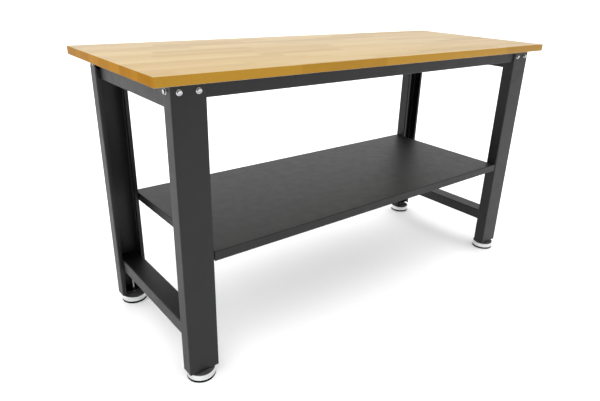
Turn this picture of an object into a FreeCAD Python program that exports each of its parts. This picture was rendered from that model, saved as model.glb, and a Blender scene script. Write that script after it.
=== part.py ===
import FreeCAD, Part
import os

import Sketcher
from FreeCAD import Placement, Rotation, Vector

# Assembly table: a solid wooden top on a folded steel frame, with a steel shelf and four levelling feet.
#
# Millimetres. X runs along the table, Y from its front to its back, Z up from the floor. The origin is on
# the floor under the middle of the top. Each leg is a lipped channel with its mouth towards the opposite
# leg. The end rail and the stretcher of each side enter those mouths, and the two long rails run through a
# notch in each inner flange and are clamped behind the webs. Each foot hangs on a threaded stem, which is
# wound through a nut under the plate that closes the leg's lower end.

doc = FreeCAD.newDocument("assembly_table")

# ---------------------------------------------------------------------------------------------------------
# Driving dimensions
# ---------------------------------------------------------------------------------------------------------

SIZES = (
    # the wooden top
    ("top_length", 1829),
    ("top_depth", 698),
    ("top_thickness", 28),
    ("top_arris", 2),
    ("bench_height", 1002),
    # folded steel of the frame: sheet thickness, outer bend radius, play where one channel enters another
    ("sheet", 2),
    ("bend", 5),
    ("fit_play", 0.5),
    # legs: where they stand under the top, and their lipped channel
    ("end_overhang", 57.5),
    ("front_overhang", 32.5),
    ("leg_width", 105),
    ("leg_depth", 51),
    ("leg_lip", 14.5),
    ("leg_clearance", 35),
    # the lips are cut away at the top: length of the cut, and of its slope
    ("lip_cut", 51),
    ("lip_slope", 16),
    # long rails under the front and back edges of the top
    ("rail_height", 46),
    ("rail_top_flange", 30),
    ("rail_foot_flange", 15),
    ("rail_tab", 40),
    ("rail_setback", 4),
    # end rails and stretchers
    ("end_rail_height", 75),
    ("stretcher_height", 46),
    ("stretcher_level", 150),
    # shelf pan and the hat section under it
    ("shelf_level", 456),
    ("shelf_sheet", 1.5),
    ("shelf_bend", 2.5),
    ("shelf_lip", 32),
    ("shelf_end_lip", 30),
    ("shelf_recess", 2.5),
    ("shelf_gap", 2.5),
    ("stiffener_width", 90),
    ("stiffener_depth", 25),
    ("stiffener_brim", 18),
    ("stiffener_setback", 20),
    # flanged hexagon bolts and their nuts
    ("bolt_diameter", 8),
    ("bolt_hole", 9),
    ("bolt_flange", 18),
    ("bolt_flange_height", 2),
    ("bolt_head_height", 6.5),
    ("hex_flats", 13),
    ("nut_height", 6.8),
    ("thread_play", 0.1),
    ("bolt_inset", 9),
    ("side_bolt_depth", 32),
    ("bolt_end", 1.2),
    # wood screws that hold the top down
    ("screw_diameter", 5),
    ("screw_bite", 18),
    ("screw_tip", 5),
    ("screw_head", 10),
    ("screw_head_height", 3),
    ("rail_screw_inset", 86.5),
    ("rail_screw_reach", 23),
    ("end_screw_spacing", 320),
    # levelling feet
    ("foot_diameter", 94),
    ("foot_setback", 30),
    ("pad_thickness", 8.5),
    ("pad_plug", 3.5),
    ("pad_chamfer", 1),
    ("cup_rim", 0.3),
    ("cup_wall", 2),
    ("cup_round", 1.5),
    ("cap_drop", 7),
    ("cap_diameter", 92),
    ("cap_edge", 1.2),
    ("cap_height", 2.5),
    ("cap_round", 1),
    ("boss_diameter", 18),
    ("boss_height", 3.5),
    ("socket_wall", 6),
    ("socket_floor", 2),
    ("seat_gap", 0.3),
    # threaded stems, the plates that carry them and their nuts
    ("stem_diameter", 10),
    ("stem_play", 0.05),
    ("stem_rise", 54),
    ("plate_recess", 8),
    ("plate_thickness", 3),
    ("foot_nut_flats", 17),
    ("foot_nut_height", 7.5),
)

sizes = doc.addObject("Spreadsheet::Sheet", "sizes")
for row, (alias, value) in enumerate(SIZES, 1):
    sizes.set(f"A{row}", alias)
    sizes.set(f"B{row}", str(value))
    sizes.setAlias(f"B{row}", alias)
doc.recompute()

# Places that several pieces share, as expressions on the sheet.
UNDERSIDE = "(sizes.bench_height - sizes.top_thickness)"
LEG_X = "(sizes.top_length / 2 - sizes.end_overhang - sizes.leg_width / 2)"
FACE_Y = "(sizes.top_depth / 2 - sizes.front_overhang)"
LEG_LENGTH = f"({UNDERSIDE} - sizes.leg_clearance)"
CHANNEL_WIDTH = "(sizes.leg_width - 2 * sizes.leg_lip - 2 * sizes.fit_play)"
RAIL_LEVEL = f"({UNDERSIDE} - sizes.rail_height)"
BOLT_LEVEL = f"({UNDERSIDE} - sizes.rail_height / 2)"
RAIL_HALF = f"({LEG_X} - {CHANNEL_WIDTH} / 2 - sizes.fit_play)"
RAIL_SHOULDER = f"({LEG_X} - sizes.leg_width / 2 + sizes.sheet + sizes.fit_play)"
RAIL_END = f"({LEG_X} + sizes.leg_width / 2 - sizes.sheet)"
INNER_BEND = "(sizes.bend - sizes.sheet)"
SHELF_X = f"({LEG_X} - sizes.leg_width / 2 - sizes.shelf_gap)"
SHELF_Y = f"({FACE_Y} - sizes.shelf_recess)"
SHELF_BOLT_Y = f"({FACE_Y} - sizes.leg_depth / 2)"
SHELF_BOLT_LEVEL = "(sizes.shelf_level - sizes.shelf_end_lip / 2)"
FOOT_Y = f"({FACE_Y} - sizes.foot_setback)"
BOLT_REACH = f"({CHANNEL_WIDTH} / 2 - sizes.bolt_inset)"
SCREW_Y = f"({FACE_Y} - sizes.sheet - sizes.rail_screw_reach)"
SCREW_X = f"({RAIL_HALF} - sizes.rail_screw_inset)"
CUP_RADIUS = "(sizes.foot_diameter / 2 - sizes.cup_rim)"
CUP_TOP = "(sizes.leg_clearance - sizes.cap_drop)"
SOCKET_BASE = "(sizes.pad_thickness + sizes.pad_plug)"
SOCKET_RADIUS = "(sizes.stem_diameter / 2 + sizes.stem_play)"
STEM_BASE = f"({SOCKET_BASE} + sizes.socket_floor + sizes.seat_gap)"
PLATE_LEVEL = "(sizes.leg_clearance + sizes.plate_recess)"
STEM_TOP = f"({PLATE_LEVEL} + sizes.plate_thickness + sizes.stem_rise)"

SIDES = {"left": -1, "right": 1}
ENDS = {"front": -1, "rear": 1}
RAIL_SCREWS = (-1, -0.5, 0, 0.5, 1)
SAME_PLACE = 0.001


def number(expression):
    """The value of an expression on the sheet, in millimetres."""
    return float(sizes.evalExpression(expression))


# ---------------------------------------------------------------------------------------------------------
# Modelling helpers
# ---------------------------------------------------------------------------------------------------------


def new_body(label, x="0", y="0", z="0", turn=0):
    """An empty body with its own place, turned about Z by whole degrees."""
    body = doc.addObject("PartDesign::Body", label)
    body.Label = label
    body.Placement = Placement(Vector(), Rotation(Vector(0, 0, 1), turn))
    for axis, place in zip("xyz", (x, y, z)):
        body.setExpression(f"Placement.Base.{axis}", place)
    return body


def new_sketch(body, plane, name, offset="0"):
    """A sketch on one of the body's own origin planes, moved along the plane's normal by offset."""
    sketch = body.newObject("Sketcher::SketchObject", name)
    base = next(item for item in body.Origin.OriginFeatures if item.Role == plane)
    sketch.AttachmentSupport = [(base, "")]
    sketch.MapMode = "FlatFace"
    sketch.setExpression("AttachmentOffset.Base.z", offset)
    return sketch


def hold_point(sketch, geometry, point, across, up):
    """Ties one point of a sketch to a place given by two expressions."""
    for kind, expression in (("DistanceX", across), ("DistanceY", up)):
        constraint = Sketcher.Constraint(kind, -1, 1, geometry, point, number(expression))
        index = sketch.addConstraint(constraint)
        sketch.setExpression(f"Constraints[{index}]", expression)


def add_polygon(sketch, corners):
    """A closed outline through corners, each a pair of expressions."""
    first = sketch.GeometryCount
    count = len(corners)
    places = [Vector(number(across), number(up), 0) for across, up in corners]
    for index, place in enumerate(places):
        sketch.addGeometry(Part.LineSegment(place, places[(index + 1) % count]))
    for index, (across, up) in enumerate(corners):
        following = first + (index + 1) % count
        sketch.addConstraint(Sketcher.Constraint("Coincident", first + index, 2, following, 1))
        hold_point(sketch, first + index, 1, across, up)


def add_rectangle(sketch, low_across, low_up, high_across, high_up):
    """A closed rectangle between two corners."""
    corners = ((low_across, low_up), (high_across, low_up), (high_across, high_up), (low_across, high_up))
    add_polygon(sketch, corners)


def add_circle(sketch, across, up, radius):
    """A circle about a place given by two expressions."""
    centre = Vector(number(across), number(up), 0)
    geometry = sketch.addGeometry(Part.Circle(centre, Vector(0, 0, 1), number(radius)))
    index = sketch.addConstraint(Sketcher.Constraint("Radius", geometry, number(radius)))
    sketch.setExpression(f"Constraints[{index}]", radius)
    hold_point(sketch, geometry, 3, across, up)


def pad(body, sketch, length, side="One side", back=False):
    """Adds material from a sketch along its normal, or against it."""
    feature = body.newObject("PartDesign::Pad", f"{sketch.Name}_pad")
    feature.Profile = sketch
    feature.setExpression("Length", length)
    feature.SideType = side
    feature.Reversed = back
    doc.recompute()
    return feature


def pocket(body, sketch, length=None, side="One side", back=False):
    """Cuts a sketch out of the body against its normal, or along it, and makes sure that it cut something."""
    before = body.Shape.Volume
    feature = body.newObject("PartDesign::Pocket", f"{sketch.Name}_pocket")
    feature.Profile = sketch
    feature.SideType = side
    feature.Reversed = back
    if length is None:
        feature.Type = "ThroughAll"
    else:
        feature.Type = "Length"
        feature.setExpression("Length", length)
    doc.recompute()
    if body.Shape.Volume >= before:
        raise ValueError(f"{body.Label}: {sketch.Name} cuts nothing")
    return feature


def revolve(body, corners):
    """Turns an outline of (radius, height) corners about the body's own Z axis."""
    sketch = new_sketch(body, "XZ_Plane", "profile")
    add_polygon(sketch, corners)
    feature = body.newObject("PartDesign::Revolution", "turned")
    feature.Profile = sketch
    feature.ReferenceAxis = (sketch, ["V_Axis"])
    feature.Angle = 360
    doc.recompute()
    return feature


def round_edges(body, name, radius, places):
    """Rounds each edge whose ends both lie at one of places: (x, y, z), with None for any value."""
    base = body.Tip
    wanted = [[None if part is None else number(part) for part in place] for place in places]
    names = []
    for index, edge in enumerate(base.Shape.Edges, 1):
        ends = [vertex.Point for vertex in edge.Vertexes]
        for place in wanted:
            held = [(axis, value) for axis, value in enumerate(place) if value is not None]
            if all(abs(end[axis] - value) < SAME_PLACE for end in ends for axis, value in held):
                names.append(f"Edge{index}")
                break
    feature = body.newObject("PartDesign::Fillet", name)
    feature.Base = (base, names)
    feature.setExpression("Radius", radius)
    doc.recompute()
    return feature


def primitive(kind, label, place="0", turn=0, **expressions):
    """A Part primitive along Z from a height, with its sizes bound to expressions."""
    item = doc.addObject(kind, label)
    item.Placement = Placement(Vector(), Rotation(Vector(0, 0, 1), turn))
    item.setExpression("Placement.Base.z", place)
    for name, expression in expressions.items():
        item.setExpression(name, expression)
    return item


def scatter(label, pattern, places):
    """One node that holds a loose copy of pattern at each of places: (x, y, z, direction of its own Z)."""
    copies = []
    for x, y, z, direction in places:
        spot = Placement(Vector(number(x), number(y), number(z)), Rotation(Vector(0, 0, 1), direction))
        solid = pattern.Shape.copy()
        solid.Placement = spot.multiply(solid.Placement)
        copies.append(solid)
    node = doc.addObject("Part::Feature", label)
    node.Label = label
    node.Shape = Part.makeCompound(copies)
    return node


# ---------------------------------------------------------------------------------------------------------
# Wooden top
# ---------------------------------------------------------------------------------------------------------


def screw_places():
    """Where the wood screws enter the top, as (x, y) expressions: along both long rails, then the end rails."""
    places = []
    for end in ENDS.values():
        places += [(f"{step} * {SCREW_X}", f"{end} * {SCREW_Y}") for step in RAIL_SCREWS]
    for side in SIDES.values():
        places += [(f"{side} * {LEG_X}", f"{end} * sizes.end_screw_spacing / 2") for end in ENDS.values()]
    return places


def make_worktop():
    """The edge-glued top: a plain board with eased edges and pilot holes in its underside."""
    body = new_body("worktop", z=UNDERSIDE)
    outline = new_sketch(body, "XY_Plane", "outline")
    add_rectangle(
        outline, "-sizes.top_length / 2", "-sizes.top_depth / 2", "sizes.top_length / 2", "sizes.top_depth / 2"
    )
    pad(body, outline, "sizes.top_thickness")
    corners = [
        (f"{side} * sizes.top_length / 2", f"{end} * sizes.top_depth / 2", None)
        for side in SIDES.values()
        for end in ENDS.values()
    ]
    faces = [(None, None, "0"), (None, None, "sizes.top_thickness")]
    round_edges(body, "arris", "sizes.top_arris", corners + faces)
    pilots = new_sketch(body, "XY_Plane", "pilot_holes")
    for x, y in screw_places():
        add_circle(pilots, x, y, "sizes.screw_diameter / 2")
    pocket(body, pilots, "sizes.screw_bite", back=True)
    return body


# ---------------------------------------------------------------------------------------------------------
# Folded steel frame
# ---------------------------------------------------------------------------------------------------------


def make_leg(label, side, end):
    """A lipped channel. Its own frame has the web on y = 0, the mouth towards +y and the lower end on z = 0."""
    turn = 0 if end < 0 else 180
    body = new_body(label, f"{side} * {LEG_X}", f"{end} * {FACE_Y}", "sizes.leg_clearance", turn)
    inner = side * end  # the side of the inner flange in the leg's own frame
    half, depth, sheet = "sizes.leg_width / 2", "sizes.leg_depth", "sizes.sheet"
    lip_edge = f"({half} - sizes.leg_lip)"
    inside = f"({half} - {sheet})"

    profile = new_sketch(body, "XY_Plane", "profile")
    outer_half = ((f"{lip_edge}", depth), (half, depth), (half, "0"))
    inner_half = ((inside, sheet), (inside, f"{depth} - {sheet}"), (lip_edge, f"{depth} - {sheet}"))
    mirrored = [(f"-({across})", up) for across, up in reversed(outer_half)]
    mirrored_inner = [(f"-({across})", up) for across, up in reversed(inner_half)]
    add_polygon(profile, list(outer_half) + mirrored + mirrored_inner + list(inner_half))
    pad(body, profile, LEG_LENGTH)
    outer_bends = [(f"{way} * {half}", up, None) for way in (-1, 1) for up in ("0", depth)]
    inner_bends = [
        (f"{way} * {inside}", up, None) for way in (-1, 1) for up in (sheet, f"{depth} - {sheet}")
    ]
    round_edges(body, "outer_bends", "sizes.bend", outer_bends)
    round_edges(body, "inner_bends", INNER_BEND, inner_bends)

    notch = new_sketch(body, "YZ_Plane", "rail_notch")
    add_rectangle(
        notch,
        f"{sheet} + sizes.rail_setback - sizes.fit_play",
        f"{LEG_LENGTH} - sizes.rail_height - sizes.fit_play",
        f"{sheet} + sizes.rail_top_flange + sizes.fit_play",
        f"{LEG_LENGTH} + sizes.fit_play",
    )
    pocket(body, notch, back=inner > 0)

    lips = new_sketch(body, "XZ_Plane", "lip_cuts", "-sizes.leg_depth / 2")
    for way in (-1, 1):
        edge, root = f"{way} * ({lip_edge} - sizes.fit_play)", f"{way} * {inside}"
        add_polygon(
            lips,
            (
                (edge, f"{LEG_LENGTH} + sizes.fit_play"),
                (edge, f"{LEG_LENGTH} - sizes.lip_cut"),
                (root, f"{LEG_LENGTH} - sizes.lip_cut + sizes.lip_slope"),
                (root, f"{LEG_LENGTH} + sizes.fit_play"),
            ),
        )
    pocket(body, lips)

    bolt_up = f"{LEG_LENGTH} - sizes.rail_height / 2"
    web_holes = new_sketch(body, "XZ_Plane", "web_holes")
    for way in (-1, 1):
        add_circle(web_holes, f"{way} * {BOLT_REACH}", bolt_up, "sizes.bolt_hole / 2")
    pocket(body, web_holes)
    side_hole = new_sketch(body, "YZ_Plane", "side_hole")
    add_circle(side_hole, "sizes.side_bolt_depth", bolt_up, "sizes.bolt_hole / 2")
    pocket(body, side_hole, back=inner < 0)
    shelf_hole = new_sketch(body, "YZ_Plane", "shelf_hole")
    shelf_up = f"{SHELF_BOLT_LEVEL} - sizes.leg_clearance"
    add_circle(shelf_hole, "sizes.leg_depth / 2", shelf_up, "sizes.bolt_hole / 2")
    pocket(body, shelf_hole, back=inner > 0)
    return body


def make_long_rail(label, end):
    """A channel with its web outwards. At each end a tongue steps forward behind the leg web and folds to a tab."""
    turn = 0 if end < 0 else 180
    body = new_body(label, "0", f"{end} * ({FACE_Y} - sizes.sheet)", RAIL_LEVEL, turn)
    height, sheet, face = "sizes.rail_height", "sizes.sheet", "sizes.rail_setback"
    back = f"({face} + {sheet})"

    profile = new_sketch(body, "YZ_Plane", "profile")
    add_polygon(
        profile,
        (
            (face, "0"),
            ("sizes.rail_foot_flange", "0"),
            ("sizes.rail_foot_flange", sheet),
            (back, sheet),
            (back, f"{height} - {sheet}"),
            ("sizes.rail_top_flange", f"{height} - {sheet}"),
            ("sizes.rail_top_flange", height),
            (face, height),
        ),
    )
    pad(body, profile, f"2 * {RAIL_SHOULDER}", side="Symmetric")
    round_edges(body, "outer_bends", "sizes.bend", [(None, face, "0"), (None, face, height)])
    inner_bends = [(None, back, sheet), (None, back, f"{height} - {sheet}")]
    round_edges(body, "inner_bends", INNER_BEND, inner_bends)

    tongues = new_sketch(body, "XY_Plane", "tongues", "sizes.bend")
    step = f"({RAIL_HALF} - {sheet})"
    lean = f"0.2 * {sheet}"
    for side in SIDES.values():
        outline = (
            (RAIL_SHOULDER, face),
            (step, "0"),
            (RAIL_END, "0"),
            (RAIL_END, "sizes.rail_tab"),
            (f"({RAIL_END} - {sheet})", "sizes.rail_tab"),
            (f"({RAIL_END} - {sheet})", sheet),
            (f"({step} + {lean})", sheet),
            (f"({RAIL_SHOULDER} + {lean})", back),
            (RAIL_SHOULDER, back),
        )
        add_polygon(tongues, [(f"{side} * {across}", out) for across, out in outline])
    pad(body, tongues, f"{height} - 2 * sizes.bend")
    outer_folds = [(f"{side} * {RAIL_END}", "0", None) for side in SIDES.values()]
    inner_folds = [(f"{side} * ({RAIL_END} - {sheet})", sheet, None) for side in SIDES.values()]
    round_edges(body, "outer_folds", "sizes.bend", outer_folds)
    round_edges(body, "inner_folds", INNER_BEND, inner_folds)

    web_holes = new_sketch(body, "XZ_Plane", "web_holes")
    for side in SIDES.values():
        for way in (-1, 1):
            across = f"{side} * {LEG_X} + {way} * {BOLT_REACH}"
            add_circle(web_holes, across, f"{height} / 2", "sizes.bolt_hole / 2")
    pocket(body, web_holes)
    tab_hole = new_sketch(body, "YZ_Plane", "tab_hole")
    add_circle(tab_hole, f"sizes.side_bolt_depth - {sheet}", f"{height} / 2", "sizes.bolt_hole / 2")
    pocket(body, tab_hole, side="Symmetric")
    screw_holes = new_sketch(body, "XY_Plane", "screw_holes")
    for step in RAIL_SCREWS:
        across = f"{step} * {SCREW_X}"
        add_circle(screw_holes, across, "sizes.rail_screw_reach", "sizes.screw_diameter / 2")
    pocket(body, screw_holes, back=True)
    return body


def make_cross_channel(label, side, height, level, half_length):
    """An upturned channel from front to back that enters both leg mouths, closed at its ends by a plate."""
    body = new_body(label, f"{side} * {LEG_X}", "0", level)
    half, sheet = f"{CHANNEL_WIDTH} / 2", "sizes.sheet"
    inside = f"({half} - {sheet})"
    profile = new_sketch(body, "XZ_Plane", "profile")
    add_polygon(
        profile,
        (
            (f"-{half}", "0"),
            (f"-{half}", height),
            (half, height),
            (half, "0"),
            (inside, "0"),
            (inside, f"{height} - {sheet}"),
            (f"-{inside}", f"{height} - {sheet}"),
            (f"-{inside}", "0"),
        ),
    )
    pad(body, profile, f"2 * {half_length}", side="Symmetric")
    outer_bends = [(f"{way} * {half}", None, height) for way in (-1, 1)]
    inner_bends = [(f"{way} * {inside}", None, f"{height} - {sheet}") for way in (-1, 1)]
    round_edges(body, "outer_bends", "sizes.bend", outer_bends)
    round_edges(body, "inner_bends", INNER_BEND, inner_bends)
    for name, end in ENDS.items():
        plate = new_sketch(body, "XZ_Plane", f"{name}_plate", f"{-end} * {half_length}")
        add_rectangle(plate, f"-{inside}", "0", inside, f"{height} - {sheet}")
        pad(body, plate, sheet, back=end < 0)
    return body


def make_end_rail(label, side):
    """The deep channel under one end of the top: it takes the web bolts and two wood screws."""
    level = f"{UNDERSIDE} - sizes.end_rail_height"
    half_length = f"({FACE_Y} - 2 * sizes.sheet)"
    body = make_cross_channel(label, side, "sizes.end_rail_height", level, half_length)
    bolt_holes = new_sketch(body, "XZ_Plane", "bolt_holes")
    for way in (-1, 1):
        up = "sizes.end_rail_height - sizes.rail_height / 2"
        add_circle(bolt_holes, f"{way} * {BOLT_REACH}", up, "sizes.bolt_hole / 2")
    pocket(body, bolt_holes, side="Symmetric")
    screw_holes = new_sketch(body, "XY_Plane", "screw_holes")
    for end in ENDS.values():
        add_circle(screw_holes, "0", f"{end} * sizes.end_screw_spacing / 2", "sizes.screw_diameter / 2")
    pocket(body, screw_holes, back=True)
    return body


def make_stretcher(label, side):
    """The low channel between the two legs of one side."""
    half_length = f"({FACE_Y} - sizes.sheet)"
    return make_cross_channel(label, side, "sizes.stretcher_height", "sizes.stretcher_level", half_length)


# ---------------------------------------------------------------------------------------------------------
# Shelf
# ---------------------------------------------------------------------------------------------------------


def make_shelf():
    """A pan with all four edges folded down. The end lips are shorter and take the shelf bolts."""
    body = new_body("shelf", z="sizes.shelf_level")
    inner_x, inner_y = f"({SHELF_X} - sizes.shelf_sheet)", f"({SHELF_Y} - sizes.shelf_sheet)"
    outline = new_sketch(body, "XY_Plane", "outline")
    add_rectangle(outline, f"-{SHELF_X}", f"-{SHELF_Y}", SHELF_X, SHELF_Y)
    pad(body, outline, "sizes.shelf_lip", back=True)
    round_edges(body, "outer_bends", "sizes.shelf_bend", [(None, None, "0")])
    hollow = new_sketch(body, "XY_Plane", "hollow", "-sizes.shelf_lip")
    add_rectangle(hollow, f"-{inner_x}", f"-{inner_y}", inner_x, inner_y)
    pocket(body, hollow, "sizes.shelf_lip - sizes.shelf_sheet", back=True)
    inner_bends = [(None, None, "-sizes.shelf_sheet")]
    round_edges(body, "inner_bends", "sizes.shelf_bend - sizes.shelf_sheet", inner_bends)
    short_ends = new_sketch(body, "XY_Plane", "short_ends", "-sizes.shelf_lip")
    for side in SIDES.values():
        edge = f"{side} * ({SHELF_X} + sizes.fit_play)"
        add_rectangle(short_ends, f"{side} * {inner_x}", f"-{inner_y}", edge, inner_y)
    pocket(body, short_ends, "sizes.shelf_lip - sizes.shelf_end_lip", back=True)
    bolt_holes = new_sketch(body, "YZ_Plane", "bolt_holes")
    for end in ENDS.values():
        add_circle(bolt_holes, f"{end} * {SHELF_BOLT_Y}", "-sizes.shelf_end_lip / 2", "sizes.bolt_hole / 2")
    pocket(body, bolt_holes, side="Symmetric")
    return body


def make_stiffener():
    """The hat section along the middle of the shelf, with its brims against the underside."""
    body = new_body("shelf_stiffener", z="sizes.shelf_level - sizes.shelf_sheet")
    brim, wall = "sizes.stiffener_width / 2", "(sizes.stiffener_width / 2 - sizes.stiffener_brim)"
    sheet, floor = "sizes.shelf_sheet", "-sizes.stiffener_depth"
    half_outline = (
        (wall, f"{floor} + {sheet}"),
        (wall, "0"),
        (brim, "0"),
        (brim, f"-{sheet}"),
        (f"{wall} + {sheet}", f"-{sheet}"),
        (f"{wall} + {sheet}", floor),
    )
    profile = new_sketch(body, "YZ_Plane", "profile")
    mirrored = [(f"-({across})", up) for across, up in reversed(half_outline)]
    add_polygon(profile, list(half_outline) + mirrored)
    pad(body, profile, f"2 * ({SHELF_X} - sizes.stiffener_setback)", side="Symmetric")
    return body


# ---------------------------------------------------------------------------------------------------------
# Bolts, nuts and screws
# ---------------------------------------------------------------------------------------------------------


def make_bolt(label, length):
    """A flanged hexagon bolt: it seats on z = 0 with its head below and its shank along +z."""
    shank = primitive("Part::Cylinder", f"{label}_shank", Radius="sizes.bolt_diameter / 2", Height=length)
    flange = primitive(
        "Part::Cone",
        f"{label}_flange",
        "-sizes.bolt_flange_height",
        Radius1="sizes.hex_flats / 2",
        Radius2="sizes.bolt_flange / 2",
        Height="sizes.bolt_flange_height",
    )
    hexagon = primitive(
        "Part::Prism",
        f"{label}_hexagon",
        "-sizes.bolt_head_height",
        turn=30,
        Circumradius="sizes.hex_flats / sqrt(3)",
        Height="sizes.bolt_head_height",
    )
    crown = primitive(
        "Part::Cone",
        f"{label}_crown",
        "-sizes.bolt_head_height",
        Radius1="sizes.hex_flats * 0.44",
        Radius2="sizes.hex_flats * 0.44 + sizes.bolt_head_height",
        Height="sizes.bolt_head_height",
    )
    head = doc.addObject("Part::Common", f"{label}_head")
    head.Base, head.Tool = hexagon, crown
    bolt = doc.addObject("Part::MultiFuse", label)
    bolt.Shapes = [shank, flange, head]
    doc.recompute()
    return bolt


def make_ring(label, outer, bore, height):
    """A hexagon nut or a round spacer on z = 0: outer names the primitive's kind and its radius."""
    kind, name, radius = outer
    blank = primitive(kind, f"{label}_blank", turn=30, Height=height, **{name: radius})
    hole = primitive("Part::Cylinder", f"{label}_hole", Radius=bore, Height=height)
    ring = doc.addObject("Part::Cut", label)
    ring.Base, ring.Tool = blank, hole
    doc.recompute()
    return ring


def make_screw():
    """A pan-head wood screw: it seats on z = 0 with its head below and its point along +z."""
    reach = "(sizes.screw_bite + sizes.sheet - sizes.screw_tip)"
    radius = "sizes.screw_diameter / 2"
    shank = primitive("Part::Cylinder", "screw_shank", Radius=radius, Height=reach)
    tip = primitive("Part::Cone", "screw_point", reach, Radius1=radius, Radius2="0", Height="sizes.screw_tip")
    head = primitive(
        "Part::Cylinder",
        "screw_pan",
        "-sizes.screw_head_height",
        Radius="sizes.screw_head / 2",
        Height="sizes.screw_head_height",
    )
    screw = doc.addObject("Part::MultiFuse", "screw_pattern")
    screw.Shapes = [shank, tip, head]
    doc.recompute()
    return screw


def make_frame_fasteners():
    """The bolts and nuts that join the legs, the long rails and the end rails."""
    nut = make_ring(
        "nut_pattern",
        ("Part::Prism", "Circumradius", "sizes.hex_flats / sqrt(3)"),
        "sizes.bolt_diameter / 2 + sizes.thread_play",
        "sizes.nut_height",
    )
    web_grip, side_grip = "3 * sizes.sheet", "2 * sizes.sheet"
    web_bolt = make_bolt("web_bolt_pattern", f"{web_grip} + sizes.nut_height + sizes.bolt_end")
    side_bolt = make_bolt("side_bolt_pattern", f"{side_grip} + sizes.nut_height + sizes.bolt_end")
    web_bolts, side_bolts, web_nuts, side_nuts = [], [], [], []
    for side in SIDES.values():
        for end in ENDS.values():
            into_mouth, into_flange = Vector(0, -end, 0), Vector(-side, 0, 0)
            for way in (-1, 1):
                x = f"{side} * {LEG_X} + {way} * {BOLT_REACH}"
                web_bolts.append((x, f"{end} * {FACE_Y}", BOLT_LEVEL, into_mouth))
                web_nuts.append((x, f"{end} * ({FACE_Y} - {web_grip})", BOLT_LEVEL, into_mouth))
            y = f"{end} * ({FACE_Y} - sizes.side_bolt_depth)"
            face = f"({LEG_X} + sizes.leg_width / 2)"
            side_bolts.append((f"{side} * {face}", y, BOLT_LEVEL, into_flange))
            side_nuts.append((f"{side} * ({face} - {side_grip})", y, BOLT_LEVEL, into_flange))
    return [
        scatter("web_bolts", web_bolt, web_bolts),
        scatter("web_nuts", nut, web_nuts),
        scatter("side_bolts", side_bolt, side_bolts),
        scatter("side_nuts", nut, side_nuts),
    ]


def make_shelf_fasteners():
    """The bolts, spacers and nuts that hang the shelf on the inner flanges of the legs."""
    grip = "sizes.sheet + sizes.shelf_gap + sizes.shelf_sheet"
    bolt = make_bolt("shelf_bolt_pattern", f"{grip} + sizes.nut_height + sizes.bolt_end")
    nut = doc.getObject("nut_pattern")
    spacer = make_ring(
        "spacer_pattern",
        ("Part::Cylinder", "Radius", "sizes.bolt_flange / 2"),
        "sizes.bolt_diameter / 2 + sizes.thread_play",
        "sizes.shelf_gap",
    )
    flange = f"({LEG_X} - sizes.leg_width / 2)"
    bolts, spacers, nuts = [], [], []
    for side in SIDES.values():
        for end in ENDS.values():
            y, inwards = f"{end} * {SHELF_BOLT_Y}", Vector(-side, 0, 0)
            bolts.append((f"{side} * ({flange} + sizes.sheet)", y, SHELF_BOLT_LEVEL, inwards))
            spacers.append((f"{side} * {flange}", y, SHELF_BOLT_LEVEL, inwards))
            nuts.append((f"{side} * ({SHELF_X} - sizes.shelf_sheet)", y, SHELF_BOLT_LEVEL, inwards))
    return [
        scatter("shelf_bolts", bolt, bolts),
        scatter("shelf_spacers", spacer, spacers),
        scatter("shelf_nuts", nut, nuts),
    ]


def make_worktop_screws():
    """The screws that hold the top to the flanges of the long rails and to the end rails."""
    level = f"{UNDERSIDE} - sizes.sheet"
    upwards = Vector(0, 0, 1)
    return scatter("worktop_screws", make_screw(), [(x, y, level, upwards) for x, y in screw_places()])


# ---------------------------------------------------------------------------------------------------------
# Levelling feet
# ---------------------------------------------------------------------------------------------------------


def make_foot_pad(label, x, y):
    """The rubber disc on the floor, with a plug that holds it inside the cup."""
    body = new_body(label, x, y)
    radius, chamfer = "sizes.foot_diameter / 2", "sizes.pad_chamfer"
    plug = f"{CUP_RADIUS} - sizes.cup_wall"
    revolve(
        body,
        (
            ("0", "0"),
            (f"{radius} - {chamfer}", "0"),
            (radius, chamfer),
            (radius, "sizes.pad_thickness"),
            (plug, "sizes.pad_thickness"),
            (plug, SOCKET_BASE),
            ("0", SOCKET_BASE),
        ),
    )
    return body


def make_foot_cup(label, x, y):
    """The bright pressed cup over the pad, with the socket in which the stem turns."""
    body = new_body(label, x, y)
    wall = "sizes.cup_wall"
    inside = f"({CUP_RADIUS} - {wall})"
    socket = f"({SOCKET_RADIUS} + sizes.socket_wall)"
    revolve(
        body,
        (
            (CUP_RADIUS, "sizes.pad_thickness"),
            (CUP_RADIUS, CUP_TOP),
            (SOCKET_RADIUS, CUP_TOP),
            (SOCKET_RADIUS, f"{SOCKET_BASE} + sizes.socket_floor"),
            ("0", f"{SOCKET_BASE} + sizes.socket_floor"),
            ("0", SOCKET_BASE),
            (socket, SOCKET_BASE),
            (socket, f"{CUP_TOP} - {wall}"),
            (inside, f"{CUP_TOP} - {wall}"),
            (inside, "sizes.pad_thickness"),
        ),
    )
    round_edges(body, "rolled_rim", "sizes.cup_round", [(CUP_RADIUS, "0", CUP_TOP)])
    return body


def make_foot_cap(label, x, y):
    """The black cover on the cup, which rises a little towards the collar round the stem."""
    body = new_body(label, x, y)
    radius, bore = "sizes.cap_diameter / 2", "sizes.stem_diameter / 2 + sizes.seat_gap"
    edge, dome = f"({CUP_TOP} + sizes.cap_edge)", f"({CUP_TOP} + sizes.cap_height)"
    boss = "sizes.boss_diameter / 2"
    top = f"({CUP_TOP} + sizes.boss_height)"
    revolve(
        body,
        (
            (bore, CUP_TOP),
            (radius, CUP_TOP),
            (radius, edge),
            (boss, dome),
            (boss, top),
            (bore, top),
        ),
    )
    round_edges(body, "rim", "sizes.cap_round", [(radius, "0", edge)])
    return body


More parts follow.
